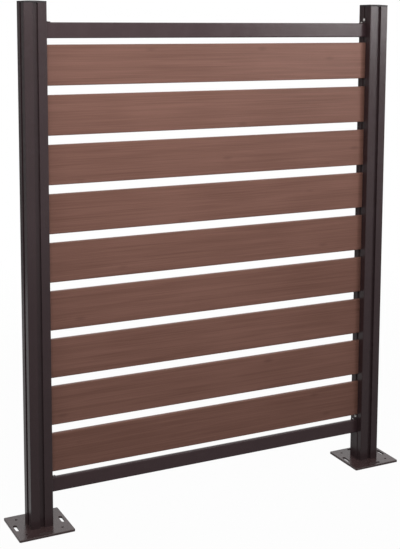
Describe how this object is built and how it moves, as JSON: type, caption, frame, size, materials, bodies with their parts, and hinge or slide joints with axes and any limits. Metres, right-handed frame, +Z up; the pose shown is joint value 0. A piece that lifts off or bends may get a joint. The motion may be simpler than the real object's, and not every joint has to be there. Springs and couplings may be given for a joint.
{
  "type": "privacy screen",
  "caption": "Garden privacy screen: horizontal wood-grained boards between two rails, held in the grooves of square posts that stand on drilled base plates.",
  "frame": {"origin": "on the ground, midway between the posts and centred in the screen's thickness", "axes": "+X along the screen to the right, +Y through it towards the back, +Z up"},
  "size_m": [1.5364, 0.195, 1.8055],
  "materials": {
    "bronze_coat": "satin dark bronze powder coat on extruded aluminium",
    "coated_steel": "satin dark bronze powder coat on steel plate",
    "cap_plastic": "moulded, fine texture",
    "spacer_plastic": "extruded, matt",
    "wood_composite": "brown wood-grained composite with a soft sheen",
    "stainless": "plain stainless steel"
  },
  "bodies": {
    "root": {"bottom_rail": "bronze_coat", "left_base_plate": "coated_steel", "left_base_screws": "stainless", "left_foot_strip": "bronze_coat", "left_groove_filler": "spacer_plastic", "left_lower_bracket": "bronze_coat", "left_lower_bracket_screws": "stainless", "left_lower_rail_spacer": "spacer_plastic", "left_post": "bronze_coat", "left_post_cap": "cap_plastic", "left_slat_spacer_1": "spacer_plastic", "left_slat_spacer_2": "spacer_plastic", "left_slat_spacer_3": "spacer_plastic", "left_slat_spacer_4": "spacer_plastic", "left_slat_spacer_5": "spacer_plastic", "left_slat_spacer_6": "spacer_plastic", "left_slat_spacer_7": "spacer_plastic", "left_slat_spacer_8": "spacer_plastic", "left_upper_bracket": "bronze_coat", "left_upper_bracket_screws": "stainless", "left_upper_rail_spacer": "spacer_plastic", "right_base_plate": "coated_steel", "right_base_screws": "stainless", "right_foot_strip": "bronze_coat", "right_groove_filler": "spacer_plastic", "right_lower_bracket": "bronze_coat", "right_lower_bracket_screws": "stainless", "right_lower_rail_spacer": "spacer_plastic", "right_post": "bronze_coat", "right_post_cap": "cap_plastic", "right_slat_spacer_1": "spacer_plastic", "right_slat_spacer_2": "spacer_plastic", "right_slat_spacer_3": "spacer_plastic", "right_slat_spacer_4": "spacer_plastic", "right_slat_spacer_5": "spacer_plastic", "right_slat_spacer_6": "spacer_plastic", "right_slat_spacer_7": "spacer_plastic", "right_slat_spacer_8": "spacer_plastic", "right_upper_bracket": "bronze_coat", "right_upper_bracket_screws": "stainless", "right_upper_rail_spacer": "spacer_plastic", "slat_1": "wood_composite", "slat_2": "wood_composite", "slat_3": "wood_composite", "slat_4": "wood_composite", "slat_5": "wood_composite", "slat_6": "wood_composite", "slat_7": "wood_composite", "slat_8": "wood_composite", "slat_9": "wood_composite", "top_rail": "bronze_coat"}
  },
  "joints": []
}
